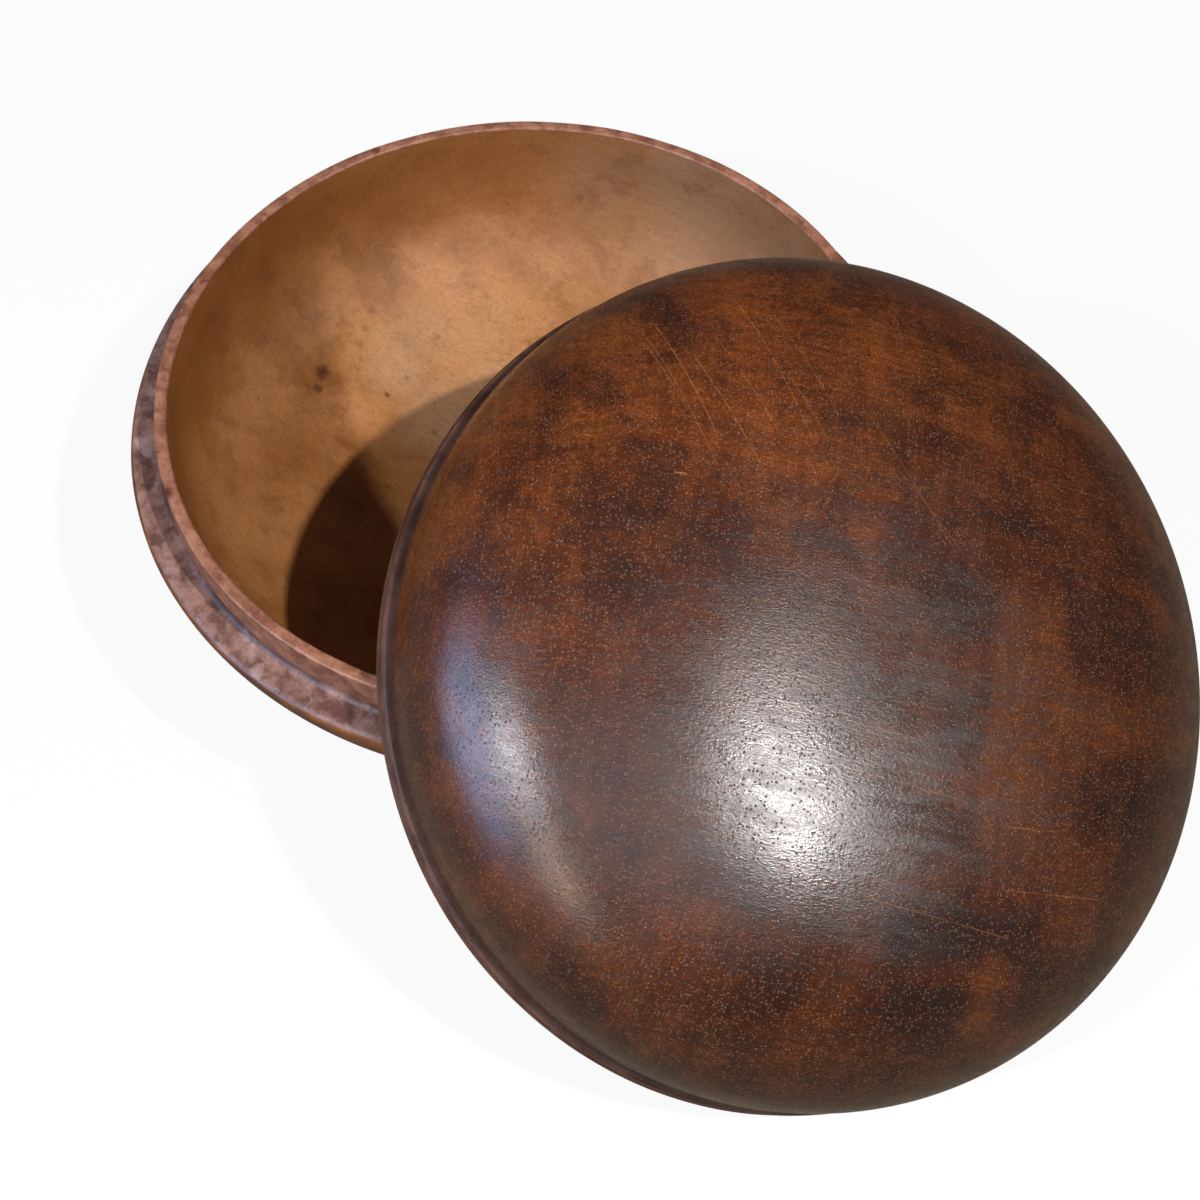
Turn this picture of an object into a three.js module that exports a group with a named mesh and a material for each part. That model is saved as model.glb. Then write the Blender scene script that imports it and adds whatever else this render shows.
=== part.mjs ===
// A turned wooden bowl with a domed lid, in millimetres, +Z up.
// The bowl stands on its flat foot with its axis on Z. The lid is off: it leans
// in the +X direction from the bowl, one side of its rim over the bowl's rim and
// the opposite edge down on the same surface as the foot.
// Each piece is one block of wood turned on a lathe, so each is one closed outline
// revolved about its own axis.

import * as THREE from "three";

// Driving dimensions of the bowl
const bowlDiameter = 150;
const bowlHeight = 52.9;
const footDiameter = 66;
const footEdgeRadius = 1.2;
const shoulderRollWidth = 1.6;
const shoulderRollHeight = 1.4;
const shoulderLedge = 4.3;
const coveRadius = 1.5;
const spigotHeight = 8;
const spigotWall = 2.4;
const spigotEdgeRadius = 0.5;
const bowlFloor = 8;
const bowlLipDepth = 7;

// Driving dimensions of the lid
const lidOverhang = 0.3;
const lidHeight = 43.2;
const lidCrown = 7;
const rebateClearance = 0.5;
const rebateHeadroom = 0.8;
const rebateShelf = 2.6;
const rimChamfer = 0.3;
const lipHeight = 1.4;
const lipRadius = 0.5;
const quirkDepth = 0.4;
const quirkHeight = 0.4;
const beadHeight = 2.6;
const beadInset = 0.2;
const beadBulge = 0.7;
const grooveDepth = 2.1;
const grooveHeight = 0.8;
const domeInset = 1.4;
const domeRise = 2.2;

// How the lid lies against the bowl
const lidLean = THREE.MathUtils.degToRad(27.9);
const restGap = 0.3;

// Fullness of the turned curves: the shares of its width and of its rise that a curve
// has at its middle. A plain ellipse has 0.707 of each, and a fuller curve has more.
const bellyFullnessShares = [0.662, 0.62];
const shoulderRollFullnessShares = [0.66, 0.66];
const hollowFullnessShares = [0.755, 0.75];
const domeFullnessShares = [0.77, 0.76];
const lidHollowFullnessShares = [0.73, 0.74];

// Facets round the axis and points along each kind of curve
const turnFacets = 60;
const longCurvePoints = 12;
const shortCurvePoints = 2;
const beadCurvePoints = 5;

// Materials
const bodyWood = new THREE.MeshStandardMaterial({
  color: new THREE.Color(0.46, 0.25, 0.13),
  roughness: 0.42,
  metalness: 0,
});
const lidWood = new THREE.MeshStandardMaterial({
  color: new THREE.Color(0.32, 0.15, 0.08),
  roughness: 0.35,
  metalness: 0,
});

// A quarter of a rounded curve about (centreRadius, centreHeight). It runs from the
// wall end, level with the centre, to the axis end, straight above or below it.
function quarterCurve(centreRadius, centreHeight, width, rise, fullnessShares, points) {
  const [widthPower, risePower] = fullnessShares.map(
    (share) => Math.log(share) / Math.log(Math.SQRT1_2),
  );
  const outline = [];
  for (let i = 0; i < points; i += 1) {
    const turn = (i / points) * (Math.PI / 2);
    const across = width * Math.cos(turn) ** widthPower;
    const along = rise * Math.sin(turn) ** risePower;
    outline.push(new THREE.Vector2(centreRadius + across, centreHeight + along));
  }
  outline.push(new THREE.Vector2(centreRadius, centreHeight + rise));
  return outline;
}

// An arc of a circle, from one angle to another, in degrees from the outward direction
function arc(centreRadius, centreHeight, radius, fromDegrees, toDegrees, points) {
  const outline = [];
  for (let i = 0; i <= points; i += 1) {
    const degrees = fromDegrees + ((toDegrees - fromDegrees) * i) / points;
    const angle = THREE.MathUtils.degToRad(degrees);
    const across = centreRadius + radius * Math.cos(angle);
    const up = centreHeight + radius * Math.sin(angle);
    outline.push(new THREE.Vector2(across, up));
  }
  return outline;
}

function turned(outline, material, name) {
  const geometry = new THREE.LatheGeometry(outline, turnFacets);
  geometry.rotateX(Math.PI / 2);
  const piece = new THREE.Mesh(geometry, material);
  piece.name = name;
  return piece;
}

// Bowl: foot, belly, shoulder, spigot that carries the lid, then down the hollow
const bowlRadius = bowlDiameter / 2;
const footRadius = footDiameter / 2;
const shoulderRadius = bowlRadius - shoulderRollWidth;
const spigotRadius = shoulderRadius - shoulderLedge;
const mouthRadius = spigotRadius - spigotWall;
const shoulderHeight = bowlHeight - spigotHeight;
const bellyHeight = shoulderHeight - shoulderRollHeight;

function bowlOutline() {
  const footTop = footEdgeRadius;
  const foot = [
    new THREE.Vector2(0, 0),
    ...arc(footRadius - footEdgeRadius, footTop, footEdgeRadius, -90, -30, shortCurvePoints),
  ];
  const belly = quarterCurve(
    footRadius,
    bellyHeight,
    bowlRadius - footRadius,
    footTop - bellyHeight,
    bellyFullnessShares,
    longCurvePoints,
  ).reverse();
  const shoulderRoll = quarterCurve(
    shoulderRadius,
    bellyHeight,
    shoulderRollWidth,
    shoulderRollHeight,
    shoulderRollFullnessShares,
    shortCurvePoints * 2,
  ).slice(1);
  const cove = arc(
    spigotRadius + coveRadius,
    shoulderHeight + coveRadius,
    coveRadius,
    270,
    180,
    shortCurvePoints,
  );
  const spigot = [
    ...arc(
      spigotRadius - spigotEdgeRadius,
      bowlHeight - spigotEdgeRadius,
      spigotEdgeRadius,
      0,
      90,
      shortCurvePoints,
    ),
    ...arc(
      mouthRadius + spigotEdgeRadius,
      bowlHeight - spigotEdgeRadius,
      spigotEdgeRadius,
      90,
      180,
      shortCurvePoints,
    ),
  ];
  const hollowTop = bowlHeight - bowlLipDepth;
  const hollow = quarterCurve(
    0,
    hollowTop,
    mouthRadius,
    bowlFloor - hollowTop,
    hollowFullnessShares,
    longCurvePoints,
  );
  return [...foot, ...belly, ...shoulderRoll, ...cove, ...spigot, ...hollow];
}

// Lid: hollow, rebate that drops over the spigot, flat rim, lip, bead, groove and dome
const lidRadius = bowlRadius + lidOverhang;
const rebateRadius = spigotRadius + rebateClearance;
const rebateDepth = spigotHeight + rebateHeadroom;
const quirkTop = lipHeight + quirkHeight;
const beadTop = quirkTop + beadHeight;
const beadRootRadius = lidRadius - beadInset - beadBulge;
const grooveTop = beadTop + grooveHeight;
const domeBase = grooveTop + domeRise;
const domeRadius = lidRadius - domeInset;

function lidOutline() {
  const hollow = quarterCurve(
    0,
    rebateDepth,
    rebateRadius - rebateShelf,
    lidHeight - lidCrown - rebateDepth,
    lidHollowFullnessShares,
    longCurvePoints,
  ).reverse();
  const rebate = [
    new THREE.Vector2(rebateRadius, rebateDepth),
    new THREE.Vector2(rebateRadius, rimChamfer),
    new THREE.Vector2(rebateRadius + rimChamfer, 0),
  ];
  const lip = [
    ...arc(lidRadius - lipRadius, lipRadius, lipRadius, -90, 0, shortCurvePoints),
    new THREE.Vector2(lidRadius, lipHeight),
    new THREE.Vector2(lidRadius - quirkDepth, lipHeight + quirkHeight / 2),
  ];
  const bead = [];
  for (let i = 0; i <= beadCurvePoints; i += 1) {
    const turn = (i / beadCurvePoints) * Math.PI;
    const bulge = beadBulge * Math.sin(turn);
    const up = quirkTop + (beadHeight * (1 - Math.cos(turn))) / 2;
    bead.push(new THREE.Vector2(beadRootRadius + bulge, up));
  }
  const groove = [new THREE.Vector2(lidRadius - grooveDepth, beadTop + grooveHeight / 2)];
  const dome = [
    new THREE.Vector2(domeRadius, grooveTop),
    ...quarterCurve(
      0,
      domeBase,
      domeRadius,
      lidHeight - domeBase,
      domeFullnessShares,
      longCurvePoints + shortCurvePoints,
    ),
  ];
  return [...hollow, ...rebate, ...lip, ...bead, ...groove, ...dome];
}

// The leaning lid touches the surface with the lowest point of its rim, and its
// rim face would meet the spigot's outer edge at two points, one on each side.
// restGap parts them, measured square to the rim face.
function placeLid(outline) {
  const drops = outline.map((p) => p.x * Math.sin(lidLean) - p.y * Math.cos(lidLean));
  const centreHeight = Math.max(...drops);
  const climb = bowlHeight - centreHeight;
  const meetRadius = rebateRadius + rimChamfer;
  const alongSlope = climb / Math.sin(lidLean);
  const halfChord = Math.sqrt(spigotRadius ** 2 - meetRadius ** 2 + alongSlope ** 2);
  const centreReach = climb / Math.tan(lidLean) + halfChord + restGap / Math.sin(lidLean);
  return { centreReach, centreHeight };
}

const bowl = turned(bowlOutline(), bodyWood, "bowl");

const lidProfile = lidOutline();
const lid = turned(lidProfile, lidWood, "lid");
const place = placeLid(lidProfile);
const leaningLid = new THREE.Group();
leaningLid.position.set(place.centreReach, 0, place.centreHeight);
leaningLid.rotation.y = lidLean;
leaningLid.add(lid);

const liddedBowl = new THREE.Group();
liddedBowl.add(bowl, leaningLid);

export default liddedBowl;
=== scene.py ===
# %% [markdown]
# # A turned wooden bowl and its domed lid
# The object is a squat bowl with a thin standing rim, and a domed lid that has been
# taken off and leans on the bowl. Both were cut from one dark, figured hardwood on a
# lathe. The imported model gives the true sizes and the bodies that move. This lesson
# turns both pieces again with smoother curves, and then gives each surface its own
# wood: oiled inside, rubbed bare on the edges, varnished on the dome.

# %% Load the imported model
import math

import bpy
import numpy as np
from mathutils import Matrix, Vector


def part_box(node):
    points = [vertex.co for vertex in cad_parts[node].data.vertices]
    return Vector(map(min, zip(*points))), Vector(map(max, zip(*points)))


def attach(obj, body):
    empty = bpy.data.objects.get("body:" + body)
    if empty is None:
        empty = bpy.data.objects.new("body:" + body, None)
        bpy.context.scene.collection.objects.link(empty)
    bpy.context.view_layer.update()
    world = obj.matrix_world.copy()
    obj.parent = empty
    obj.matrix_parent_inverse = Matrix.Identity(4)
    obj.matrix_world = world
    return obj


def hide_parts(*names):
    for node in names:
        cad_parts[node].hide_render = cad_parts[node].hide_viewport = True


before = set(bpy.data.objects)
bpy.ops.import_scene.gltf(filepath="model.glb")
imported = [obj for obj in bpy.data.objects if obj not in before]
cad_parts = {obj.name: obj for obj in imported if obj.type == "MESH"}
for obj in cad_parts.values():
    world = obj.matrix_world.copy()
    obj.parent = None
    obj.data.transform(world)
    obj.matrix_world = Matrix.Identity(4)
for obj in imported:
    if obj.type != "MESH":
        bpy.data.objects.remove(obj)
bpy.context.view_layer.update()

# %% [markdown]
# ## Curves that a turner cuts
# A turned piece is one outline swept round an axis, so all of its shape lies in that
# outline. The long curves of bowls are fuller than an ellipse. A quarter of an ellipse
# whose cosine and sine are raised to a power slightly below one gives that fullness
# with two numbers, the shares of its width and rise that it has at its middle. Small
# roundings are plain arcs. All lengths are written in millimetres, as on a drawing.

# %% Two kinds of curve
MM = 0.001


def quarter_curve(centre_r, centre_z, width, rise, fullness, points):
    """Points from the wall end of a full quarter curve to its end on the axis."""
    width_power, rise_power = [math.log(f) / math.log(math.sqrt(0.5)) for f in fullness]
    curve = []
    for i in range(points):
        turn = i / points * math.pi / 2
        across = width * math.cos(turn) ** width_power
        along = rise * math.sin(turn) ** rise_power
        curve.append((centre_r + across, centre_z + along))
    return curve + [(centre_r, centre_z + rise)]


def arc(centre_r, centre_z, radius, start, end, points):
    """Points on part of a circle, by angles in degrees from the outward direction."""
    turns = [math.radians(start + (end - start) * i / points) for i in range(points + 1)]
    return [(centre_r + radius * math.cos(t), centre_z + radius * math.sin(t)) for t in turns]


# %% [markdown]
# ## The bowl's outline
# From the foot the outline climbs the belly, rolls over the shoulder, runs in along a
# narrow ledge, stands up as the thin spigot that carries the lid, and goes down into
# the hollow. It is kept as four stretches, because each has its own finish: outside,
# ledge, spigot and hollow. The outside ends halfway round the shoulder's roll.

# %% Bowl sizes
bowl_radius, bowl_height, foot_radius, foot_edge = 75.0, 52.9, 33.0, 1.2
roll_width, roll_height, ledge, cove = 1.6, 1.4, 4.3, 1.5
spigot_height, spigot_wall, spigot_edge = 8.0, 2.4, 0.5
bowl_floor, bowl_lip_depth = 8.0, 7.0
belly_fullness, roll_fullness, hollow_fullness = (0.662, 0.62), (0.66, 0.66), (0.755, 0.75)
roll_points, half_roll = 10, 5
roll_radius = bowl_radius - roll_width
spigot_radius = bowl_radius - roll_width - ledge
mouth_radius = spigot_radius - spigot_wall
shoulder_z = bowl_height - spigot_height
belly_z = shoulder_z - roll_height
print("spigot and mouth radius, mm:", round(spigot_radius, 2), round(mouth_radius, 2))

# %% Bowl outline in four stretches
belly = quarter_curve(
    foot_radius, belly_z, bowl_radius - foot_radius, foot_edge - belly_z, belly_fullness, 60
)[::-1]
roll = quarter_curve(roll_radius, belly_z, roll_width, roll_height, roll_fullness, roll_points)
flat_foot = [(0.0, 0.0), (12.0, 0.0), (24.0, 0.0)]
outside = (
    flat_foot
    + arc(foot_radius - foot_edge, foot_edge, foot_edge, -90, -30, 5)
    + belly
    + roll[1 : half_roll + 1]
)
ledge_top = roll[half_roll:] + arc(spigot_radius + cove, shoulder_z + cove, cove, 270, 180, 8)
spigot_top = bowl_height - spigot_edge
spigot_outer_wall = [(spigot_radius, shoulder_z + 3.5), (spigot_radius, shoulder_z + 5.5)]
spigot = (
    ledge_top[-1:]
    + spigot_outer_wall
    + arc(spigot_radius - spigot_edge, spigot_top, spigot_edge, 0, 90, 6)
    + arc(mouth_radius + spigot_edge, spigot_top, spigot_edge, 90, 180, 6)
)
hollow_top = bowl_height - bowl_lip_depth
hollow = spigot[-1:] + quarter_curve(
    0.0, hollow_top, mouth_radius, bowl_floor - hollow_top, hollow_fullness, 64
)
print("bowl outline points:", [len(s) for s in (outside, ledge_top, spigot, hollow)])

# %% [markdown]
# ## Worn edges
# Old wood is never crisp: its edges are rubbed and nicked by a few tenths of a
# millimetre. A bevel would round an edge evenly, and sculpting by hand couldn't be
# repeated. So the wear is a smooth wave round the edge, made of seeded ripples and
# squared, which leaves long stretches whole and rubs a few places deeper. It only ever
# takes wood away, so the piece stays inside its measured size.

# %% Wear round an edge
ROUND = 240
FEWEST_RIPPLES, MOST_RIPPLES = 2, 28


def wear_round(seed, depth):
    """How much is rubbed off at each angle round an edge: smooth, seeded, never below 0."""
    pick = np.random.default_rng(seed)
    angles = np.arange(ROUND) / ROUND * 2 * math.pi
    wave = np.zeros(ROUND)
    for k in range(FEWEST_RIPPLES, MOST_RIPPLES + 1):
        wave += pick.normal() / k**0.7 * np.cos(k * angles + pick.uniform(0, 2 * math.pi))
    wave = (wave - wave.min()) / (wave.max() - wave.min())
    return depth * wave**2


bowl_wear = [
    (bowl_radius, belly_z, 1.2, -1.0, 0.0, wear_round(3, 0.28)),
    (spigot_radius, bowl_height, 0.9, -0.6, -0.6, wear_round(5, 0.22)),
    (mouth_radius, bowl_height, 0.8, 0.5, -0.6, wear_round(8, 0.2)),
]
print("deepest wear on the bowl, mm:", [round(float(w[-1].max()), 2) for w in bowl_wear])

# %% [markdown]
# ## The lathe
# Blender can turn an outline with the Screw modifier or with a spin in mesh code. The
# mesh is written out directly here, because then each stretch of the outline gets its
# own material slot, and the edges can be worn while the points are laid down. Where two
# faces meet at less than 38 degrees the surface shades as one smooth curve.

# %% Turn an outline into a mesh
SHARP_EDGE = math.radians(38)


def ring_at(r, z, worn):
    """The points of one turn of the outline, in metres, with the worn edges rubbed."""
    angles = np.arange(ROUND) / ROUND * 2 * math.pi
    radii, heights = np.full(ROUND, r), np.full(ROUND, z)
    for edge_r, edge_z, reach, dr, dz, rub in worn:
        near = math.exp(-(((r - edge_r) ** 2 + (z - edge_z) ** 2) / reach**2))
        radii, heights = radii + dr * near * rub, heights + dz * near * rub
    return list(zip(radii * np.cos(angles) * MM, radii * np.sin(angles) * MM, heights * MM))


def turn_on_lathe(name, stretches, worn):
    """Sweeps the stretches of one outline round Z. worn holds (r, z, reach, dr, dz, rub)."""
    points, owner = [stretches[0][0]], []
    for index, stretch in enumerate(stretches):
        points += stretch[1:]
        owner += [index] * (len(stretch) - 1)
    verts, faces, finish, rings = [], [], [], []
    for r, z in points:
        ring = [(0.0, 0.0, z * MM)] if r < 1e-6 else ring_at(r, z, worn)
        rings.append(list(range(len(verts), len(verts) + len(ring))))
        verts += ring
    for index, low, high in zip(owner, rings, rings[1:]):
        for k in range(ROUND):
            n = (k + 1) % ROUND
            if len(low) == 1:
                faces.append((low[0], high[n], high[k]))
            elif len(high) == 1:
                faces.append((low[k], low[n], high[0]))
            else:
                faces.append((low[k], low[n], high[n], high[k]))
            finish.append(index)
    mesh = bpy.data.meshes.new(name)
    mesh.from_pydata([tuple(float(c) for c in v) for v in verts], [], faces)
    mesh.polygons.foreach_set("material_index", finish)
    mesh.polygons.foreach_set("use_smooth", [True] * len(faces))
    mesh.update()
    mesh.set_sharp_from_angle(angle=SHARP_EDGE)
    piece = bpy.data.objects.new(name, mesh)
    bpy.context.collection.objects.link(piece)
    return piece


bowl_piece = turn_on_lathe("bowl_turned", [outside, ledge_top, spigot, hollow], bowl_wear)
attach(bowl_piece, "bowl")
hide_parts("bowl")
print("bowl faces:", len(bowl_piece.data.polygons))

# %% [markdown]
# ## The lid's outline
# The lid is the more skilful piece. Its rim is cut back inside as a rebate that drops
# over the spigot. Outside it carries a small square lip, a fine quirk, a rounded bead
# and a dark groove, and only then the dome begins. The bead catches a line of light all
# the way round, so its section is cut with many points. The dome is made 0.05 mm flatter
# than drawn, because a smooth dome stands proud of a faceted one.

# %% Lid sizes
lid_radius, lid_height, lid_crown = bowl_radius + 0.3, 43.2, 7.0
rebate_radius, rebate_depth, rebate_shelf = spigot_radius + 0.5, spigot_height + 0.8, 2.6
rebate_middle, rim_chamfer = 4.0, 0.3
lip_height, lip_round, quirk_depth, quirk_height = 1.4, 0.5, 0.4, 0.4
bead_height, bead_inset, bead_bulge, bead_steps = 2.6, 0.2, 0.7, 14
groove_depth, groove_height, dome_inset, dome_rise = 2.1, 0.8, 1.4, 2.2
dome_fullness, lid_hollow_fullness, dome_flatter = (0.77, 0.76), (0.73, 0.74), 0.05
quirk_top = lip_height + quirk_height
bead_top = quirk_top + bead_height
bead_root = lid_radius - bead_inset - bead_bulge
groove_top = bead_top + groove_height
dome_base, dome_radius = groove_top + dome_rise, lid_radius - dome_inset
print("lid's bead, mm up the rim:", round(quirk_top, 2), "to", round(bead_top, 2))

# %% Lid outline in three stretches
lid_hollow = quarter_curve(
    0.0, rebate_depth, rebate_radius - rebate_shelf, lid_height - lid_crown - rebate_depth,
    lid_hollow_fullness, 48,
)[::-1]
lid_inside = lid_hollow + [
    (rebate_radius, rebate_depth), (rebate_radius, rebate_middle),
    (rebate_radius, rim_chamfer), (rebate_radius + rim_chamfer, 0.0),
]
bead = []
for i in range(bead_steps + 1):
    turn = i / bead_steps * math.pi
    bead_r = bead_root + bead_bulge * math.sin(turn)
    bead.append((bead_r, quirk_top + bead_height * (1 - math.cos(turn)) / 2))
lid_edge = (
    lid_inside[-1:]
    + arc(lid_radius - lip_round, lip_round, lip_round, -90, 0, 5)
    + [(lid_radius, lip_height), (lid_radius - quirk_depth, lip_height + quirk_height / 2)]
    + bead
    + [(lid_radius - groove_depth, bead_top + groove_height / 2), (dome_radius, groove_top)]
)
dome = lid_edge[-1:] + quarter_curve(
    0.0, dome_base, dome_radius, lid_height - dome_flatter - dome_base, dome_fullness, 84
)
print("lid outline points:", [len(s) for s in (lid_inside, lid_edge, dome)])

# %% [markdown]
# ## Leaning the lid
# The lid was turned flat, and then set down with one side of its rim over the bowl's
# rim. Its place isn't guessed: the lean is 27.9 degrees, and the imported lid's box says
# how low and how far out the rim reaches. The object itself stays at the origin and
# its mesh is moved, so that the pieces keep one shared frame.

# %% Turn the lid and lean it
lid_lean = math.radians(27.9)
lean_sin, lean_cos = math.sin(lid_lean), math.cos(lid_lean)
lid_low, lid_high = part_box("lid")
lid_points = lid_inside + lid_edge + dome
lid_z = lid_low[2] / MM + max(r * lean_sin - z * lean_cos for r, z in lid_points)
lid_x = lid_high[0] / MM - max(r * lean_cos + z * lean_sin for r, z in lid_points)
bead_edge, bead_middle = bead_root + bead_bulge, quirk_top + bead_height / 2
lid_wear = [
    (lid_radius, lip_height / 2, 1.0, -0.6, 0.0, wear_round(21, 0.25)),
    (bead_edge, bead_middle, 1.1, -1.0, 0.0, wear_round(34, 0.2)),
    (dome_radius, groove_top, 0.9, -0.5, 0.0, wear_round(55, 0.3)),
]
lid_piece = turn_on_lathe("lid_turned", [lid_inside, lid_edge, dome], lid_wear)
lid_place = Matrix.Translation((lid_x * MM, 0, lid_z * MM)) @ Matrix.Rotation(lid_lean, 4, "Y")
lid_piece.data.transform(lid_place)
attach(lid_piece, "lid")
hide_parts("lid")
print("lid faces:", len(lid_piece.data.polygons))
print("foot of the lid's axis, mm:", round(lid_x, 2), round(lid_z, 2))

# %% [markdown]
# ## A small kit for wood
# Every finish here is a network of nodes that works from the place of a point in the
# block of wood, in millimetres. That is how real wood works: the figure runs through
# the block, and the lathe only uncovers it. A picture wrapped round the piece would
# bend the grain round the curve, which no turned bowl shows. The short helpers below
# each add one node, so that a finish can be read like a recipe.

# %% Node helpers
def add_node(tree, kind, inputs, out=0, **settings):
    """Adds a node to a tree, plugs or sets its inputs, and gives back one output."""
    node = tree.nodes.new(kind)
    for name, value in settings.items():
        setattr(node, name, value)
    for name, value in inputs.items():
        if isinstance(value, bpy.types.NodeSocket):
            tree.links.new(value, node.inputs[name])
        else:
            node.inputs[name].default_value = value
    return node.outputs[out]


class Finish:
    """One material. Each helper adds a node and gives back its output."""

    def __init__(self, name, place=(0.0, 0.0), lean=0.0, grain=0.0):
        """place and lean say how the piece lies, grain how its fibres run, in degrees."""
        self.material = bpy.data.materials.new(name)
        self.material.use_nodes = True
        self.tree = self.material.node_tree
        self.shader = self.tree.nodes["Principled BSDF"]
        spot = self.add("ShaderNodeTexCoord", {}, "Object")
        self.piece = self.add(
            "ShaderNodeMapping",
            {"Vector": spot, "Location": (place[0] * MM, 0, place[1] * MM),
             "Rotation": (0, lean, 0), "Scale": (MM, MM, MM)},
            vector_type="TEXTURE",
        )
        self.block = self.add(
            "ShaderNodeMapping",
            {"Vector": self.piece, "Rotation": (0, 0, -math.radians(grain))},
            vector_type="POINT",
        )

    def add(self, kind, inputs, out=0, **settings):
        return add_node(self.tree, kind, inputs, out, **settings)

    def math(self, how, a, b=0.0, clamp=False):
        return self.add("ShaderNodeMath", {0: a, 1: b}, operation=how, use_clamp=clamp)

    def vector(self, how, a, b, out=0):
        return self.add("ShaderNodeVectorMath", {0: a, 1: b}, out, operation=how)

    def axis(self, where, index):
        """One coordinate of a place: 0, 1 or 2 for x, y or z."""
        return self.add("ShaderNodeSeparateXYZ", {"Vector": where}, index)

    def levels(self, value, low, high, out_low=0.0, out_high=1.0):
        """A soft step: out_low below low, out_high above high."""
        span = {"From Min": low, "From Max": high, "To Min": out_low, "To Max": out_high}
        return self.add(
            "ShaderNodeMapRange", {"Value": value, **span}, interpolation_type="SMOOTHSTEP"
        )

    def cloud(self, where, size, detail=3.0, rough=0.5, out=0):
        """Noise whose patches are about size millimetres across."""
        look = {"Scale": 1 / size, "Detail": detail, "Roughness": rough}
        return self.add("ShaderNodeTexNoise", {"Vector": where, **look}, out)

    def blend(self, amount, a, b):
        """Colour a, with the amount 0 to 1 of colour b laid over it."""
        return self.add("ShaderNodeMix", {0: amount, 6: a, 7: b}, 2, data_type="RGBA")

    def brighten(self, colour, value, low, high, dark, light):
        """Multiplies a colour by dark where value is low, up to light where it is high."""
        return self.vector("MULTIPLY", colour, self.levels(value, low, high, dark, light))

    def relief(self, height, depth):
        """Bump: height 0 to 1 becomes depth millimetres on the surface."""
        return self.add(
            "ShaderNodeBump", {"Height": height, "Strength": 1.0, "Distance": depth * MM}
        )

    def set(self, **sockets):
        for name, value in sockets.items():
            name = name.replace("_", " ")
            if isinstance(value, bpy.types.NodeSocket):
                self.tree.links.new(value, self.shader.inputs[name])
            else:
                self.shader.inputs[name].default_value = value


def rgb(r, g, b):
    """A colour as a painter reads it off, 0 to 255, in the light values that nodes use."""
    steps = [c / 255 for c in (r, g, b)]
    light = [s / 12.92 if s <= 0.04045 else ((s + 0.055) / 1.055) ** 2.4 for s in steps]
    return (*light, 1.0)


print("a dark red-brown in light values:", [round(c, 3) for c in rgb(72, 32, 14)])

# %% [markdown]
# ## What wood needs over and over
# Its blotches have ragged borders, so the place is shaken a little before it is used.
# Its fibres run one way, so the place is squeezed along the grain. Its pores are the cut
# ends and sides of vessels: small, dense, longer along the grain, and of mixed strength.
# Where ripple figure crosses the grain, patches of one tone stand beside each other with
# rather straight borders, like a quilt. Each of these is one function.

# %% Grain, pores and quilted figure
def shaken(f, where, size, reach):
    """The same place, moved about by up to half of reach, so that borders turn ragged."""
    push = f.vector("SUBTRACT", f.cloud(where, size, 4, 0.65, out="Color"), (0.5, 0.5, 0.5))
    return f.vector("ADD", where, f.vector("MULTIPLY", push, (reach, reach, reach)))


def squeezed(f, where, along=1.0, across=1.0, shift=0.0):
    """Makes whatever is drawn next longer along the grain, or longer across it."""
    moved = f.vector("ADD", where, (shift, shift * 0.7, shift * 1.3))
    return f.vector("MULTIPLY", moved, (1 / along, 1 / across, 1 / across))


FIBRE_STRETCH = 11


def fibres(f, size=0.8):
    """Fine lines along the grain, size millimetres apart."""
    return f.cloud(squeezed(f, f.block, FIBRE_STRETCH), size, 3, 0.65)


def pores(f, where, spacing, stretch, width, share):
    """Small open vessels: 1 in a pore, 0 between. share is the share of cells with one."""
    cells = {"Vector": squeezed(f, where, stretch), "Scale": 1 / spacing, "Randomness": 0.8}
    near = f.add("ShaderNodeTexVoronoi", cells, "Distance")
    pick = f.add("ShaderNodeTexVoronoi", cells, "Color")
    red = f.add("ShaderNodeSeparateColor", {"Color": pick}, 0)
    size = f.levels(red, 1 - share, 1.0, 0.0, width)
    soft_outside, soft_inside = 0.1, -0.04
    return f.levels(f.math("SUBTRACT", near, size), soft_outside, soft_inside)


def quilt(f, where, along, across, shift):
    """Patches of one tone each, 0 to 1, with rather straight borders, like ripple figure."""
    place = squeezed(f, where, along, across, shift)
    cells = {"Vector": place, "Scale": 1.0, "Randomness": 1.0, "Smoothness": 0.12}
    patch = {"feature": "SMOOTH_F1", "distance": "CHEBYCHEV"}
    pick = f.add("ShaderNodeTexVoronoi", cells, "Color", **patch)
    return f.add("ShaderNodeSeparateColor", {"Color": pick}, 0)


print("fibres are drawn", FIBRE_STRETCH, "times as long as they are wide")

# %% [markdown]
# ## Marks at chosen places
# Noise gives the right kind of figure, but a piece is known by its few strongest marks:
# a dark cloud here, a knot or a scratch there. These are set at listed places on the
# piece in millimetres, so they stay on the wood when it is seen from another side. There
# are three shapes: round spots, patches that run straight with the grain, and scratches.

# %% Spots, panels and scratches
SPOT_CORE = 0.2


def strongest(f, marks):
    """Lays marks over each other, and keeps the strongest at each point."""
    total = marks[0]
    for mark in marks[1:]:
        total = f.math("MAXIMUM", total, mark)
    return total


def spots(f, where, places):
    """Soft round marks at chosen places: each is (x, y, z, radius, strength)."""
    marks = []
    for x, y, z, radius, strength in places:
        away = f.vector("DISTANCE", where, (x, y, z), out="Value")
        marks.append(f.levels(away, radius, radius * SPOT_CORE, 0.0, strength))
    return strongest(f, marks)


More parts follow.
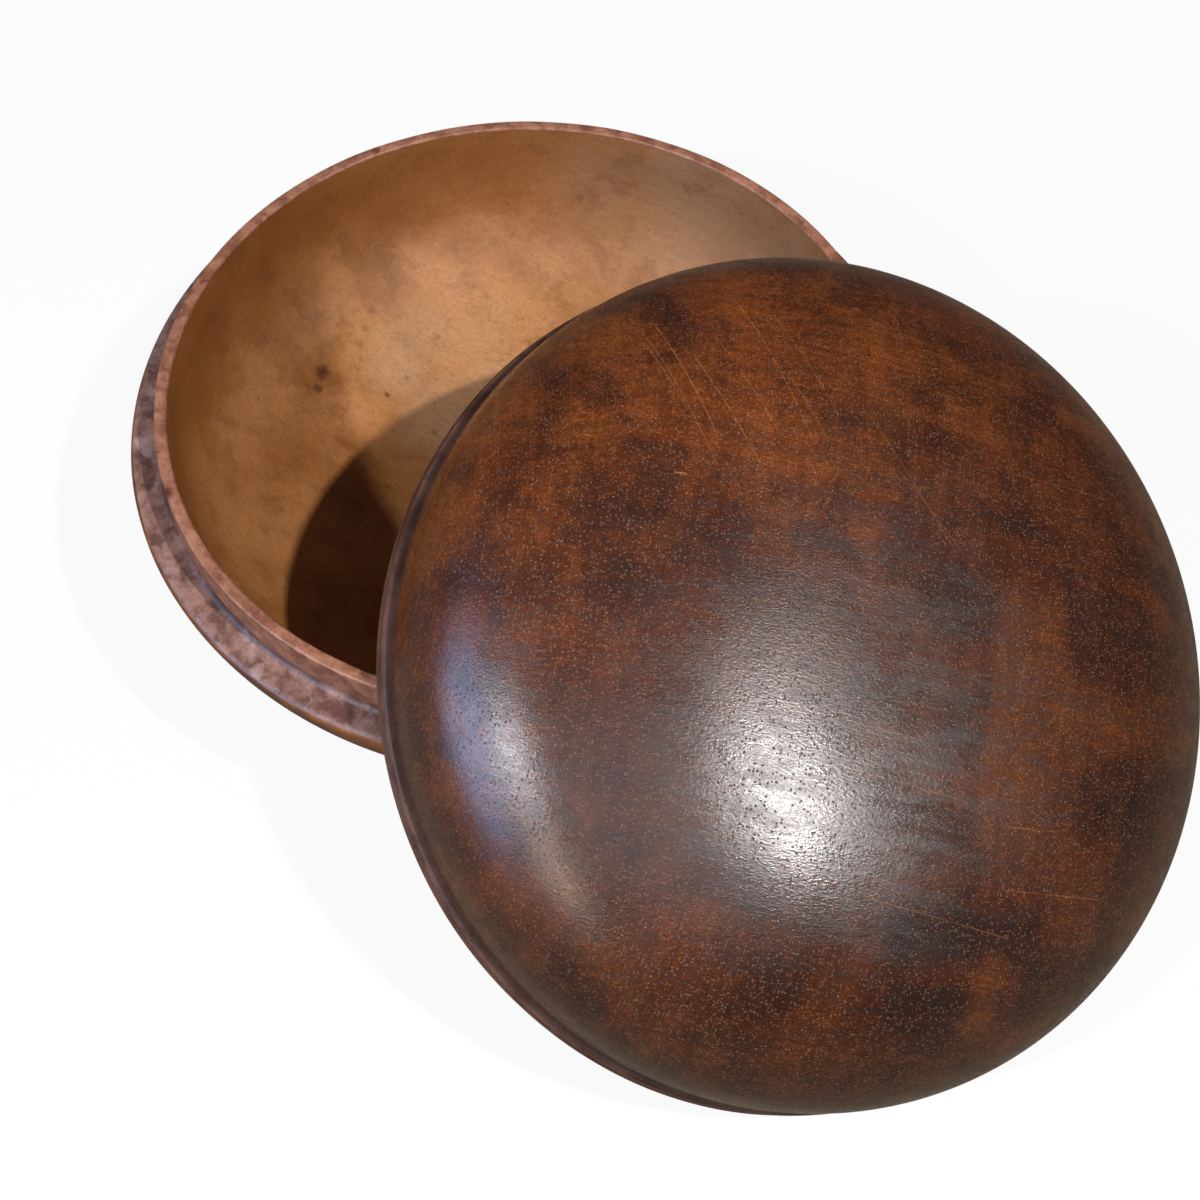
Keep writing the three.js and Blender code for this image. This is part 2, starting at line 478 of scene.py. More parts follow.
def panels(f, where, boxes, soft=2.4):
    """Soft-edged patches, straight along and across the grain: (u0, u1, v0, v1, strength)."""
    u, v = f.axis(where, 0), f.axis(where, 1)
    marks = []
    for u0, u1, v0, v1, strength in boxes:
        mark = f.levels(u, u0 - soft, u0 + soft, 0, strength)
        mark = f.math("MULTIPLY", mark, f.levels(u, u1 + soft, u1 - soft))
        mark = f.math("MULTIPLY", mark, f.levels(v, v0 - soft, v0 + soft))
        marks.append(f.math("MULTIPLY", mark, f.levels(v, v1 + soft, v1 - soft)))
    return strongest(f, marks)


def scratches(f, where, lines, width, fade=0.06):
    """Thin straight marks between two points seen from above: (x0, y0, x1, y1, strength)."""
    flat = f.vector("MULTIPLY", where, (1, 1, 0))
    marks = []
    for x0, y0, x1, y1, strength in lines:
        run = math.hypot(x1 - x0, y1 - y0)
        way, beside = ((x1 - x0) / run, (y1 - y0) / run, 0), (-(y1 - y0) / run, (x1 - x0) / run, 0)
        from_start = f.vector("SUBTRACT", flat, (x0, y0, 0))
        far = f.math("MULTIPLY", f.vector("DOT_PRODUCT", from_start, way, "Value"), 1 / run)
        side = f.math("ABSOLUTE", f.vector("DOT_PRODUCT", from_start, beside, "Value"))
        ends = f.levels(f.math("MULTIPLY", far, f.math("SUBTRACT", 1.0, far)), 0.0, fade)
        marks.append(f.math("MULTIPLY", f.levels(side, width, 0.0, 0, strength), ends))
    return strongest(f, marks)


print("a spot is full out to", SPOT_CORE, "of its radius, and fades from there")

# %% [markdown]
# ## The dome's varnished wood
# The dome is dark red-brown with purple-black clouds and orange-brown flashes between
# them. The grain runs across it at about 43 degrees to the lean, and a ripple figure
# crosses the grain, so patches have edges both ways, like a plaid. Two clouds stretched
# both ways make the plaid, and two quilts lay squarer patches over it. A painted picture
# could hold the figure too, but it would stop at its edges and blur up close.

# %% Dome colour
lid_grain = 43.0
lid_lies = {"place": (lid_x, lid_z), "lean": lid_lean, "grain": lid_grain}
f = Finish("dome_varnished_wood", **lid_lies)
loose = shaken(f, f.block, 9, 7)
clouds = f.cloud(squeezed(f, loose, 1.6), 15, 5, 0.6)
tone = f.blend(f.levels(clouds, 0.36, 0.64), rgb(72, 32, 14), rgb(102, 48, 19))
plaid_along = f.cloud(squeezed(f, loose, 4.5, 1, 31), 8, 3)
plaid_across = f.cloud(squeezed(f, loose, 1, 4.5, 57), 9, 3)
plaid = f.math("MULTIPLY", f.math("ADD", plaid_along, plaid_across), 0.5)
tone = f.blend(f.levels(plaid, 0.52, 0.66, 0, 0.4), tone, rgb(120, 64, 30))
tone = f.blend(f.levels(plaid, 0.47, 0.34, 0, 0.4), tone, rgb(56, 28, 20))
ragged = shaken(f, f.block, 3, 4)
quilts = f.math("ADD", quilt(f, ragged, 13, 6, 7), quilt(f, ragged, 6, 12, 91))
figure = f.math("MULTIPLY", quilts, 0.5)
tone = f.blend(f.levels(figure, 0.52, 0.8, 0, 0.4), tone, rgb(120, 62, 28))
tone = f.blend(f.levels(figure, 0.48, 0.2, 0, 0.42), tone, rgb(50, 27, 22))
print("dome nodes so far:", len(f.tree.nodes))

# %% [markdown]
# ## The dome's own clouds and flashes
# On the real lid the middle is darker than the rest, and there is a handful of strong dark
# patches. The low wall above the bowl is painted orange, as painted reflection of the
# bowl's tan hollow. All are placed one by one here, through a shaken place, so that no
# border is a clean circle or a ruled line. Last, the whole dome darkens towards the side
# that leans on the table.

# %% Dome patches at chosen places
spread = shaken(f, f.piece, 6, 13)
dark_places = [
    (-60.6, 6.7, 32.3, 6, 0.6), (-60.6, -11.4, 31.9, 6, 0.6), (-43.6, -16.2, 38.6, 5, 0.4),
    (-43.0, -25.3, 37.5, 7, 0.5), (-36.3, -30.6, 38.3, 8, 0.5), (-16.0, 24.7, 41.6, 12, 0.35),
    (-29.7, -13.2, 41.5, 8, 0.35), (-2.4, 8.3, 43.2, 12, 0.5), (22.4, -59.0, 30.8, 11, 0.4),
    (-16.0, -8.0, 42.0, 10, 0.3), (37.0, -23.0, 39.0, 12, 0.6), (14.0, 0.0, 43.0, 9, 0.5),
    (-49.0, -44.0, 28.0, 11, 0.5), (-44.0, -42.0, 33.0, 11, 0.4), (56.0, -5.0, 35.0, 15, 0.5),
    (-58.0, 6.0, 34.0, 8, 0.3), (5.0, 46.0, 39.0, 14, 0.3),
]
tone = f.blend(spots(f, spread, dark_places), tone, rgb(55, 30, 24))
# Orange flashes in the wood, and four spots low on the wall above the bowl, 18 to 26 mm up, which
# are painted reflection of the bowl's tan hollow.
orange_and_painted_reflection_places = [
    (-57.5, -18.6, 32.7, 8, 0.6), (-49.1, -37.6, 31.7, 9, 0.5), (-53.6, -28.8, 32.4, 8, 0.5),
    (-45.2, 8.0, 38.8, 18, 0.4), (-38.7, 27.2, 38.4, 18, 0.45), (-50.0, -4.0, 36.0, 12, 0.35),
    (-67.0, -24.0, 18.0, 15, 0.9), (-68.0, -4.0, 24.0, 13, 0.8), (-64.0, 18.0, 26.0, 12, 0.6),
    (-58.0, -42.0, 18.0, 13, 0.8), (4.4, -53.2, 36.2, 8, 0.3), (40.8, -44.6, 32.6, 12, 0.3),
    (-24.0, 39.0, 38.0, 14, 0.35),
]
tone = f.blend(spots(f, spread, orange_and_painted_reflection_places), tone, rgb(124, 63, 24))
dark_middle = [(-4.0, -32.0, 40.0, 46, 0.75)]
low_flash = [(16.0, -57.0, 33.0, 15, 0.5)]
tone = f.blend(spots(f, spread, dark_middle), tone, rgb(60, 32, 25))
tone = f.blend(spots(f, spread, low_flash), tone, rgb(122, 62, 30))
square = shaken(f, f.block, 5, 9)
dark_panels = [
    (2, 15, 3, 13, 0.6), (30, 50, 1, 17, 0.5), (3, 33, -47, -39, 0.75), (7, 21, -58, -50, 0.65),
    (36, 54, -22, -10, 0.4), (-6, 12, 12, 22, 0.4), (24, 44, -66, -58, 0.4),
]
tone = f.blend(panels(f, square, dark_panels), tone, rgb(51, 27, 22))
orange_panels = [
    (16, 28, -28, 13, 0.6), (26, 46, -8, -1, 0.6), (22, 27, -56, -44, 0.7),
    (32, 44, -40, -26, 0.45), (-30, -8, 24, 34, 0.3),
]
tone = f.blend(panels(f, square, orange_panels), tone, rgb(126, 66, 30))
down_the_lean = f.axis(spread, 0)
tone = f.brighten(tone, down_the_lean, -52, 34, 0.9, 0.56)
placed = dark_places + orange_and_painted_reflection_places + dark_middle + low_flash + dark_panels + orange_panels
print("dome marks:", len(placed))

# %% [markdown]
# ## The dome's fine grain and scratches
# Close up, the dome shows hair-fine fibres, wider streaks, a faint ripple across them,
# and pale pores finer than a millimetre, each full of old dust. Each one only brightens
# or darkens what is under it by a few parts in ten. Years of wiping have left straight
# scratches, which show where the fibres stand up and vanish between them.

# %% Dome fibre, ripple, pores and scratches
fibre = fibres(f)
streak = f.cloud(squeezed(f, loose, 9, 1, 12), 2.6, 4, 0.6)
ripple = f.cloud(squeezed(f, loose, 1, 14, 83), 1.7, 2, 0.5)
tone = f.brighten(tone, fibre, 0.3, 0.7, 0.78, 1.2)
tone = f.brighten(tone, streak, 0.35, 0.6, 0.79, 1.11)
tone = f.brighten(tone, ripple, 0.35, 0.65, 0.87, 1.12)
dust = f.cloud(squeezed(f, f.block, 1.5, 1, 61), 0.34, 2, 0.7)
tone = f.brighten(tone, dust, 0.3, 0.7, 0.66, 1.42)
flecks = pores(f, f.block, 0.42, 1.2, 0.32, 0.95)
tone = f.blend(f.math("MULTIPLY", flecks, 0.38), tone, rgb(162, 112, 74))
scratch_lines = [
    (-65.5, 3.7, -43.5, -4.1, 0.5), (-57.0, 3.4, -36.0, -1.6, 0.45),
    (-60.7, 17.5, -33.8, 8.2, 0.4), (-58.0, 9.0, -38.0, 4.6, 0.3),
    (-62.0, -1.0, -50.0, -4.6, 0.35), (-43.7, -13.4, -42.4, -12.0, 0.9),
    (-56.8, -19.6, -54.6, -18.2, 0.7), (31.4, -4.3, 39.4, 4.6, 0.35),
    (39.6, -9.9, 54.1, 6.0, 0.35), (25.0, -30.0, 48.0, -12.0, 0.3),
    (-12.0, 34.0, 8.0, 55.0, 0.2), (8.0, -41.0, 27.0, -28.0, 0.25),
    (-65.1, 0.9, -39.8, -7.5, 0.35), (-45.2, 13.4, -31.3, 10.2, 0.3),
    (-57.8, 20.7, -34.6, 15.1, 0.3), (-33.5, 20.0, -5.5, 16.8, 0.25),
    (-22.7, 17.8, 7.3, 18.1, 0.22), (-7.5, -24.2, 9.5, -10.0, 0.3),
    (4.5, -23.3, 23.7, -7.7, 0.3), (8.8, -38.4, 27.8, -23.8, 0.25),
]
lines = scratches(f, f.piece, scratch_lines, 0.16)
tone = f.blend(f.math("MULTIPLY", lines, f.levels(fibre, 0.3, 0.55)), tone, rgb(178, 118, 72))
print("scratches:", len(scratch_lines))

# %% [markdown]
# ## The dome's varnish
# A worn satin varnish makes the lamps bloom softly, and every open pore breaks the bloom
# with a dark dot, because there the surface sinks and goes dull. A clear coat over a dull
# base would look lacquered. So the varnish is mostly the base's own low roughness, which
# follows the streaks and fibres, with a thin and rougher coat that spreads the bloom.

# %% Dome varnish
pits = pores(f, squeezed(f, f.block, 1, 1, 140), 0.58, 1.1, 0.29, 0.85)
tone = f.blend(f.math("MULTIPLY", pits, 0.25), tone, rgb(126, 88, 64))
rough = f.levels(f.cloud(loose, 14, 4, 0.6), 0.3, 0.7, 0.23, 0.3)
rough = f.math("ADD", rough, f.levels(streak, 0.35, 0.62, 0.05, -0.03))
rough = f.math("ADD", rough, f.levels(fibre, 0.3, 0.7, 0.04, -0.03))
rough = f.math("ADD", rough, f.math("MULTIPLY", pits, 0.36), clamp=True)
grit = f.cloud(squeezed(f, f.block, 2.2, 1, 9), 0.3, 2, 0.6)
height = f.math("MULTIPLY", f.math("ADD", fibre, streak), 0.3)
height = f.math("ADD", height, f.math("MULTIPLY", grit, 0.9))
height = f.math("SUBTRACT", height, f.math("MAXIMUM", pits, f.math("MULTIPLY", flecks, 0.1)))
f.set(Base_Color=tone, Roughness=rough, Normal=f.relief(height, 0.045), IOR=1.5)
f.set(Coat_Weight=0.12, Coat_Roughness=0.5)
dome_finish = f.material
print("dome nodes:", len(f.tree.nodes))

# %% [markdown]
# ## The lid's edge
# Handling has rubbed the lip and bead to a paler, purplish brown. The groove and the
# quirk get painted shade: they are darkened by their height above the rim, so that they
# stay dark from every side. All the plainer finishes end alike: the
# pores are darker and duller than the wood between them, and sink into it. Two helpers
# say so once.

# %% Lid edge finish
def darken_pores(f, tone, flecks, amount, colour, rough, rougher=0.2):
    """Darkens the pores, and makes them duller than the wood between them."""
    f.set(Base_Color=f.blend(f.math("MULTIPLY", flecks, amount), tone, colour))
    f.set(Roughness=f.math("ADD", rough, f.math("MULTIPLY", flecks, rougher), clamp=True))


def sink_pores(f, raised, share, flecks, depth):
    """Relief in millimetres: a share of a raised pattern, with the pores sunk into it."""
    height = f.math("SUBTRACT", f.math("MULTIPLY", raised, share), flecks)
    f.set(Normal=f.relief(height, depth))


def near_height(f, up, height, reach, full, strength):
    """Strength within full millimetres of a height on the piece, fading out at reach."""
    away = f.math("ABSOLUTE", f.math("SUBTRACT", up, height))
    return f.levels(away, reach, full, 0, strength)


f = Finish("lid_edge_rubbed_wood", **lid_lies)
loose = shaken(f, f.block, 6, 5)
mottle = f.cloud(squeezed(f, loose, 1.8), 7, 5, 0.6)
tone = f.blend(f.levels(mottle, 0.35, 0.65), rgb(88, 54, 44), rgb(136, 94, 78))
up = f.axis(f.piece, 2)
groove_middle, quirk_middle = bead_top + 0.4, lip_height + 0.25
# Painted shade in the groove and the quirk, set by height above the rim.
groove_painted_shade = near_height(f, up, groove_middle, 0.9, 0.2, 0.65)
quirk_painted_shade = near_height(f, up, quirk_middle, 0.55, 0.1, 0.5)
tone = f.blend(f.levels(up, 1.7, 0.9, 0, 0.7), tone, rgb(136, 82, 38))
tone = f.blend(groove_painted_shade, tone, rgb(34, 19, 15))
tone = f.blend(quirk_painted_shade, tone, rgb(46, 26, 20))
flecks = pores(f, f.block, 0.7, 1.6, 0.2, 0.7)
rough = f.levels(mottle, 0.3, 0.7, 0.46, 0.58)
darken_pores(f, tone, flecks, 0.35, rgb(52, 30, 24), rough, 0.25)
sink_pores(f, mottle, 0.3, flecks, 0.04)
f.set(IOR=1.5, Specular_IOR_Level=0.22)
lid_edge_finish = f.material
print("lid edge nodes:", len(f.tree.nodes))

# %% [markdown]
# ## The lid's inside
# Nobody varnished the inside of the lid: it was only oiled. The photo hides it, so it
# gets the paler, plainer version of the same wood that the bowl's hollow shows.

# %% Lid inside finish
f = Finish("lid_inside_oiled_wood", **lid_lies)
loose = shaken(f, f.block, 10, 9)
clouds = f.cloud(squeezed(f, loose, 1.6), 18, 5, 0.6)
tone = f.blend(f.levels(clouds, 0.34, 0.66), rgb(122, 72, 38), rgb(176, 118, 72))
fibre = fibres(f)
tone = f.brighten(tone, fibre, 0.3, 0.7, 0.86, 1.1)
flecks = pores(f, f.block, 0.7, 2.0, 0.2, 0.7)
darken_pores(f, tone, flecks, 0.35, rgb(76, 44, 26), 0.46)
sink_pores(f, fibre, 0.3, flecks, 0.03)
f.set(IOR=1.5)
for material in (f.material, lid_edge_finish, dome_finish):
    lid_piece.data.materials.append(material)
print("lid finishes:", [m.name for m in lid_piece.data.materials])

# %% [markdown]
# ## The bowl's hollow
# Inside, the same wood is much paler, a warm tan with a soft sheen. It darkens to olive
# brown towards the rim. Painted light lies on it too: a pale painted patch of lamp light
# on the far wall, painted grey window light near the far rim, and painted beige window
# light low in the hollow, on the side away from the lid. These broad zones come first, as
# large soft spots under the noise.

# %% Hollow zones
bowl_grain = 20.0
f = Finish("hollow_oiled_wood", grain=bowl_grain)
loose = shaken(f, f.block, 12, 11)
clouds = f.cloud(squeezed(f, loose, 1.3), 20, 5, 0.6)
tone = f.blend(f.levels(clouds, 0.34, 0.66), rgb(144, 90, 42), rgb(177, 122, 74))
spread = shaken(f, f.piece, 10, 12)
# Painted light: a pale patch of lamp light and sheen on the far wall.
far_wall_painted_light = [
    (-44.0, 20.3, 16.4, 26, 0.7), (-45.3, 36.0, 23.1, 20, 0.2), (-47.0, 47.0, 46.0, 16, 0.6),
    (-48.5, 2.0, 17.0, 14, 0.6), (-43.0, -13.0, 13.5, 10, 0.5),
]
tone = f.blend(spots(f, spread, far_wall_painted_light), tone, rgb(206, 145, 96))
tone = f.blend(f.levels(f.axis(spread, 2), 22, 44, 0, 0.75), tone, rgb(142, 84, 32))
# Painted light: the window's grey light on the wall near the far rim.
far_rim_painted_window_light = [
    (-38.0, 53.0, 42.0, 16, 0.5), (-18.0, 63.0, 46.0, 26, 0.8), (4.0, 64.0, 40.0, 26, 0.8),
]
tone = f.blend(spots(f, spread, far_rim_painted_window_light), tone, rgb(158, 122, 92))
smudge = f.cloud(squeezed(f, loose, 1.2, 1, 44), 9, 5, 0.65)
tone = f.blend(f.levels(smudge, 0.5, 0.68, 0, 0.42), tone, rgb(112, 66, 34))
brown_places = [
    (-63.3, 13.9, 33.4, 9, 0.35), (-60.9, 10.8, 27.7, 7, 0.25), (-56.1, 7.8, 21.9, 6, 0.2),
    (-58.5, -32.0, 43.7, 8, 0.4), (-56.8, -33.6, 37.4, 6, 0.3), (-41.8, 50.3, 35.1, 7, 0.25),
]
tone = f.blend(spots(f, spread, brown_places), tone, rgb(122, 68, 32))
# Painted light: the paler, greyer look of the window's light low in the hollow.
low_painted_window_light = [
    (-47.8, 9.4, 16.5, 12, 0.5), (-45.2, 1.7, 14.9, 12, 0.6), (-42.5, 19.0, 15.5, 14, 0.35),
    (-31.0, 2.0, 10.6, 16, 0.6), (-30.0, 14.0, 11.5, 14, 0.5),
]
tone = f.blend(spots(f, spread, low_painted_window_light), tone, rgb(182, 142, 106))
print("hollow zones:", len(far_wall_painted_light + far_rim_painted_window_light + brown_places + low_painted_window_light))

# %% [markdown]
# ## Knots and grain of the hollow
# A few small dark knots lie on the far wall and near the bottom. Between them the oiled
# wood is calm: its fibres and pores are much fainter than on the dome, because nobody
# polished them.

# %% Hollow knots, fibre and pores
knots = [
    (-51.5, -13.9, 19.4, 2.4, 0.9), (-49.2, -16.8, 18.5, 1.7, 0.75),
    (-50.3, -18.6, 19.0, 1.1, 0.7), (-41.6, -4.9, 13.5, 1.0, 0.8),
    (-56.3, 3.5, 21.7, 1.5, 0.4), (-52.4, -3.1, 18.8, 1.3, 0.35),
    (-54.3, 0.2, 20.2, 1.2, 0.35), (-45.5, 12.5, 15.6, 1.1, 0.35),
    (-42.5, 1.0, 13.7, 1.0, 0.4), (-29.1, -2.2, 10.1, 1.0, 0.5),
    (-24.4, -18.4, 10.4, 1.0, 0.5), (-41.8, 50.3, 35.1, 1.4, 0.3),
]
tone = f.blend(spots(f, shaken(f, f.piece, 1.1, 2.2), knots), tone, rgb(84, 42, 26))
fibre = fibres(f, 0.9)
tone = f.brighten(tone, fibre, 0.3, 0.7, 0.93, 1.06)
dust = f.cloud(squeezed(f, f.block, 1.4, 1, 61), 0.6, 3, 0.7)
tone = f.brighten(tone, dust, 0.3, 0.7, 0.9, 1.1)
specks = f.cloud(squeezed(f, f.piece, 1, 1, 29), 1.8, 4, 0.75)
tone = f.blend(f.levels(specks, 0.6, 0.7, 0, 0.5), tone, rgb(120, 64, 34))
flecks = pores(f, f.block, 0.8, 1.8, 0.16, 0.6)
darken_pores(f, tone, flecks, 0.3, rgb(100, 60, 36), 0.6)
sink_pores(f, fibre, 0.3, flecks, 0.02)
f.set(IOR=1.4)
hollow_finish = f.material
print("hollow knots:", len(knots))

# %% [markdown]
# ## The spigot
# The spigot's top and wall are bare pinkish wood, rubbed by the lid each time it goes on.
# A mottle of a few millimetres is enough, because so narrow a band shows no figure. Three
# small knots break it.

# %% Spigot finish
f = Finish("spigot_bare_wood", grain=bowl_grain)
loose = shaken(f, f.piece, 3, 3)
mottle = f.cloud(loose, 3, 5, 0.65)
tone = f.blend(f.levels(mottle, 0.36, 0.64), rgb(130, 80, 62), rgb(180, 124, 100))
knots = [
    (-23.7, -64.8, 52.9, 1.8, 0.95), (-60.0, -31.0, 52.9, 1.0, 0.6),
    (-66.0, 16.0, 52.9, 1.1, 0.5),
]
tone = f.blend(spots(f, shaken(f, f.piece, 1.2, 1.2), knots), tone, rgb(88, 34, 26))
flecks = pores(f, f.block, 0.7, 1.5, 0.2, 0.7)
darken_pores(f, tone, flecks, 0.5, rgb(98, 56, 46), 0.42)
sink_pores(f, mottle, 0.4, flecks, 0.04)
f.set(IOR=1.5, Specular_IOR_Level=0.35)
spigot_finish = f.material
print("spigot nodes:", len(f.tree.nodes))

# %% [markdown]
# ## The ledge
# The ledge under the spigot collects old wax and dirt, so it is a mottled purple-brown
# with lilac patches. Where it meets the spigot, in the cove, it has painted shade: a dark
# line that follows the distance from the axis, and that a cloud breaks up in places.

# %% Ledge finish
f = Finish("ledge_waxed_wood", grain=bowl_grain)
loose = shaken(f, f.piece, 4, 5)
mottle = f.cloud(loose, 5, 5, 0.65)
tone = f.blend(f.levels(mottle, 0.36, 0.64), rgb(100, 67, 59), rgb(160, 121, 110))
lilac = f.cloud(squeezed(f, loose, 1, 1, 71), 6, 3)
tone = f.blend(f.levels(lilac, 0.56, 0.68, 0, 0.6), tone, rgb(188, 158, 156))
across = f.vector("LENGTH", f.vector("MULTIPLY", f.piece, (1, 1, 0)), (0, 0, 0), "Value")
# Painted shade in the cove at the spigot's foot; the worn cloud only breaks it up in places.
cove_painted_shade = f.levels(across, spigot_radius + 1.2, spigot_radius + 0.4, 0, 0.75)
worn = f.levels(f.cloud(f.piece, 22, 3), 0.42, 0.58, 0.2, 1.0)
tone = f.blend(f.math("MULTIPLY", cove_painted_shade, worn), tone, rgb(60, 40, 42))
flecks = pores(f, f.block, 0.7, 1.5, 0.2, 0.7)
darken_pores(f, tone, flecks, 0.4, rgb(56, 32, 32), 0.48)
sink_pores(f, mottle, 0.4, flecks, 0.05)
f.set(IOR=1.5, Specular_IOR_Level=0.3)
ledge_finish = f.material
print("ledge nodes:", len(f.tree.nodes))

# %% [markdown]
# ## The outside
# The photo shows only a strip of the outside under the shoulder, a warm orange-brown. The
# rest is a guess: the plaid figure of the lid in a paler tone, because both pieces were
# cut from the same wood.

# %% Outside finish
f = Finish("outside_oiled_wood", grain=bowl_grain)
loose = shaken(f, f.block, 9, 8)
clouds = f.cloud(squeezed(f, loose, 1.6), 15, 5, 0.6)
tone = f.blend(f.levels(clouds, 0.36, 0.64), rgb(104, 56, 28), rgb(160, 96, 48))
plaid = f.cloud(squeezed(f, loose, 4.5, 1, 31), 8, 3)
tone = f.blend(f.levels(plaid, 0.48, 0.34, 0, 0.6), tone, rgb(66, 34, 22))
fibre = fibres(f)
tone = f.brighten(tone, fibre, 0.3, 0.7, 0.86, 1.12)
flecks = pores(f, f.block, 0.66, 1.6, 0.2, 0.8)
darken_pores(f, tone, flecks, 0.35, rgb(64, 34, 20), 0.38, 0.25)
sink_pores(f, fibre, 0.3, flecks, 0.035)
f.set(IOR=1.5)
for material in (f.material, ledge_finish, spigot_finish, hollow_finish):
    bowl_piece.data.materials.append(material)
print("bowl finishes:", [m.name for m in bowl_piece.data.materials])

# %% [markdown]
# ## Floor
# The pieces stand on a plain white floor. To the camera most of its white is its own
# glow, so it joins the white world behind it, and the rest is white paint that takes the
# pieces' shadow. The wood must not see so bright a floor, or its dark varnish would turn
# milky and its edges grey. So light that reaches the wood finds an ordinary beige table
# there, and the varnish sees only a small share of the glow.

# %% White floor that keeps the shadow
glow_to_camera, glow_to_varnish = 0.9, 0.04
white_paint, table_paint = (0.9, 0.9, 0.9, 1), (0.22, 0.18, 0.13, 1)
bpy.ops.mesh.primitive_plane_add(size=6.0)
floor = bpy.context.object
floor.name = "floor"
f = Finish("white_floor")
f.tree.nodes.remove(f.shader)
path = f.add("ShaderNodeLightPath", {}).node.outputs
direct = f.math("MAXIMUM", path["Is Camera Ray"], path["Is Transmission Ray"])
paint = f.add("ShaderNodeBsdfDiffuse", {"Color": f.blend(direct, table_paint, white_paint)})
glow = f.add("ShaderNodeEmission", {"Color": (1, 1, 1, 1), "Strength": 1.0})
seen_direct = f.math("MULTIPLY", direct, glow_to_camera)
seen_glossy = f.math("MULTIPLY", path["Is Glossy Ray"], glow_to_varnish)
share = f.math("ADD", seen_direct, seen_glossy)
surface = f.add("ShaderNodeMixShader", {0: share, 1: paint, 2: glow})
f.tree.links.new(surface, f.tree.nodes["Material Output"].inputs["Surface"])
floor.data.materials.append(f.material)
print("floor is", round(floor.dimensions.x, 1), "m wide")

# %% [markdown]
# ## Light
# The real pieces stood in a room, lit from the upper right by a warm lamp and from the
# left by a window. Both show twice: as a shadow with its half-shadow in the hollow, and
# as a bloom on the dome. One plain lamp can't give both, because the real ones are broad,
# coloured and partly hidden. So each source is split. A small lamp lights only the
# wood's colour and draws the shadow, and one or more lamps beside it are seen only in the
# varnish. The main bloom has a core and a halo. The window's bloom is blue, with a whiter
# core on one side, and a warm patch from a door below it. A large weak veil gives the
# grey sheen that a satin varnish has all over.

# %% Lamps
AIM = Vector((0.04, 0.0, 0.06))


def lamp(lights, name, azimuth, elevation, distance, wide, tall, watts, colour):
    """A plain panel aimed at the pieces. It lights the wood, or is seen in the varnish."""
    a, e = math.radians(azimuth), math.radians(elevation)
    away = Vector((math.cos(e) * math.cos(a), math.cos(e) * math.sin(a), math.sin(e)))
    data = bpy.data.lights.new(name, "AREA")
    data.shape = "RECTANGLE"
    data.size, data.size_y = wide, tall
    data.energy = watts
    data.color = colour
    made = bpy.data.objects.new(name, data)
    made.location = AIM + away * distance
    made.rotation_euler = (-away).to_track_quat("-Z", "Y").to_euler()
    made.visible_diffuse, made.visible_glossy = lights == "wood", lights == "varnish"
    bpy.context.collection.objects.link(made)


lamp("wood", "main_lamp", 10, 57.5, 0.8, 0.02, 0.02, 4.65, (1.0, 0.97, 0.92))
lamp("varnish", "main_bloom", 5, 43.6, 0.84, 0.05, 0.07, 5.2, (1.0, 0.98, 0.98))
lamp("varnish", "main_halo", 20, 49, 0.84, 0.14, 0.12, 0.9, (1.0, 0.97, 0.95))
lamp("varnish", "veil", -38, 47, 0.8, 0.6, 0.5, 1.5, (0.93, 0.92, 1.0))
lamp("wood", "window_lamp", -94, 41, 0.8, 0.04, 0.04, 4.7, (0.84, 0.92, 1.0))
lamp("varnish", "window_bloom", -108, 20, 0.8, 0.5, 0.4, 5.8, (0.44, 0.62, 1.0))
lamp("varnish", "window_core", -89, 37, 0.8, 0.22, 0.03, 3.4, (0.84, 0.92, 1.0))
lamp("varnish", "door_bloom", -70, 20, 0.8, 0.2, 0.16, 1.1, (1.0, 0.88, 0.72))

# %% [markdown]
# ## World
# Behind the pieces there is nothing but white. As with the floor, only the camera, and
# what is seen through clear things, gets that full white. To the wood the world is a dim
# room, and its varnish sees a small share of the white.

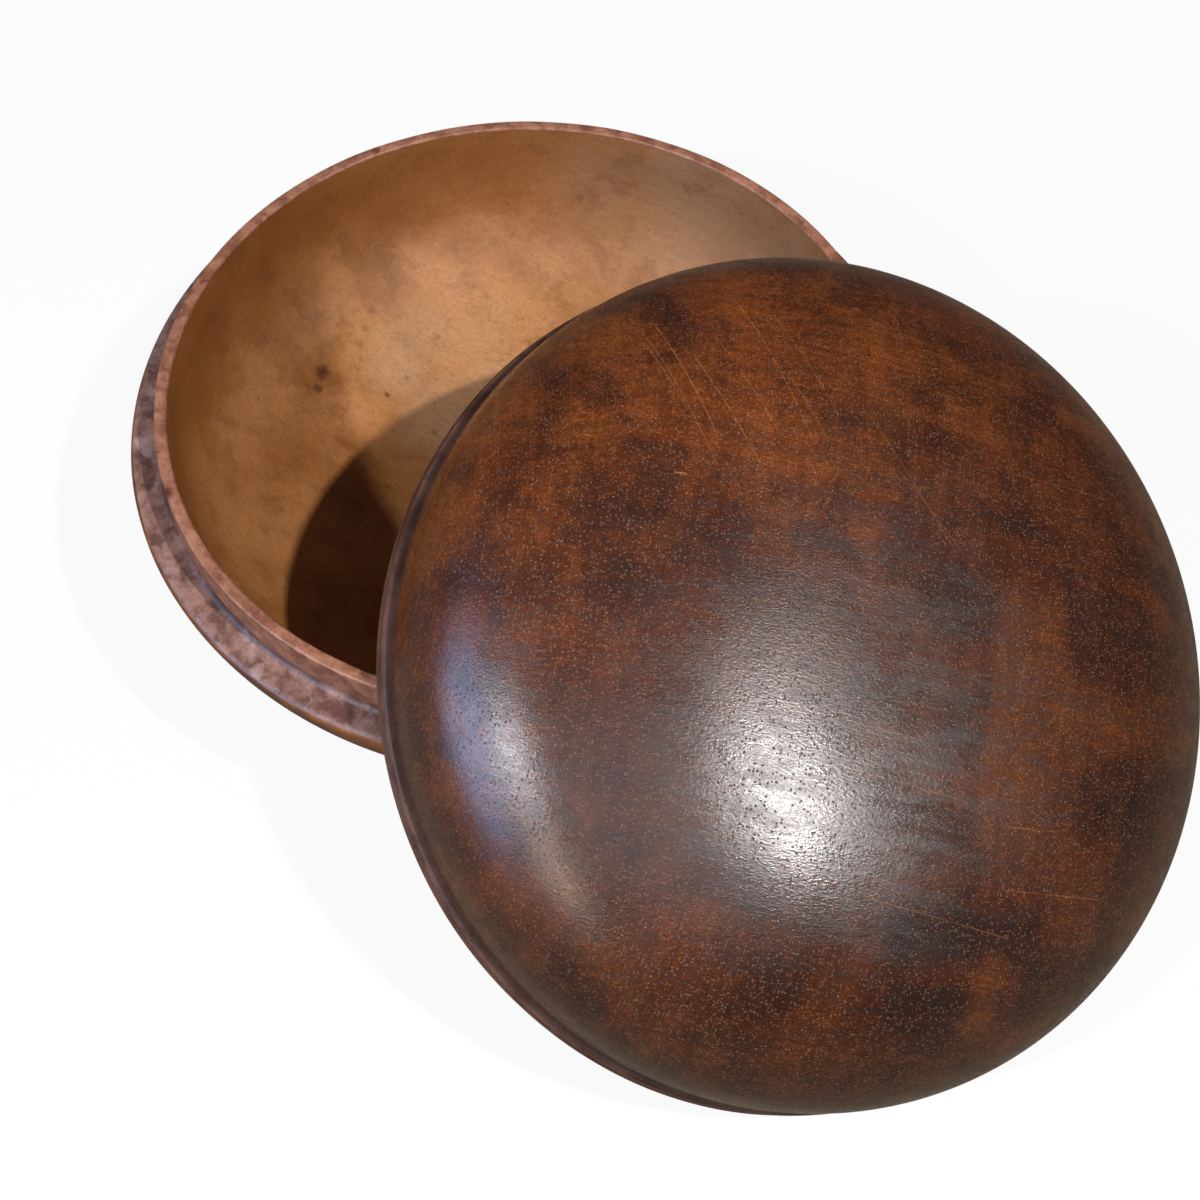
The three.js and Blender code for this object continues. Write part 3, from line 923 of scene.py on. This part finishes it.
# %% White world, dim room
room_strength, white_to_varnish = 0.04, 0.02
world = bpy.data.worlds.new("white_room")
bpy.context.scene.world = world
world.use_nodes = True
tree = world.node_tree
tree.nodes.remove(tree.nodes["Background"])
background = "ShaderNodeBackground"
room = add_node(tree, background, {"Color": (0.9, 0.9, 0.92, 1), "Strength": room_strength})
white = add_node(tree, background, {"Color": (1, 1, 1, 1), "Strength": 1.0})
path = add_node(tree, "ShaderNodeLightPath", {}).node.outputs
beyond_camera = add_node(
    tree, "ShaderNodeMath",
    {0: path["Is Glossy Ray"], 1: white_to_varnish, 2: path["Is Transmission Ray"]},
    operation="MULTIPLY_ADD",
)
share = add_node(
    tree, "ShaderNodeMath", {0: path["Is Camera Ray"], 1: beyond_camera},
    operation="ADD", use_clamp=True,
)
sky = add_node(tree, "ShaderNodeMixShader", {0: share, 1: room, 2: white})
tree.links.new(sky, tree.nodes["World Output"].inputs["Surface"])
print("room strength:", room_strength)

# %% [markdown]
# ## Camera
# The camera stands above and in front of the pieces, close enough for the lid to look
# larger than the bowl. Its place was fitted to the two outlines in the photograph. It is
# given by a target, a distance, two angles and a small roll, as one would note it down
# beside a tripod.

# %% Camera
bpy.context.scene.view_settings.view_transform = "Standard"
camera_data = bpy.data.cameras.new("camera")
camera_data.lens, camera_data.sensor_width = 51.357, 36.0
camera_data.clip_start, camera_data.clip_end = 0.01, 20
camera = bpy.data.objects.new("camera", camera_data)
bpy.context.collection.objects.link(camera)
target, distance = Vector((0.033903, -0.012105, 0.030)), 0.321244
azimuth, elevation, roll = [math.radians(d) for d in (-43.967, 58.601, 2.233)]
level = math.cos(elevation)
back = Vector((level * math.cos(azimuth), level * math.sin(azimuth), math.sin(elevation)))
right = Vector((-math.sin(azimuth), math.cos(azimuth), 0))
up = back.cross(right)
rolled_right = math.cos(roll) * right + math.sin(roll) * up
rolled_up = math.cos(roll) * up - math.sin(roll) * right
camera.matrix_world = Matrix.Translation(target + back * distance) @ Matrix(
    (rolled_right, rolled_up, back)
).transposed().to_4x4()
bpy.context.scene.camera = camera
print("camera at, mm:", [round(c / MM, 1) for c in camera.location])
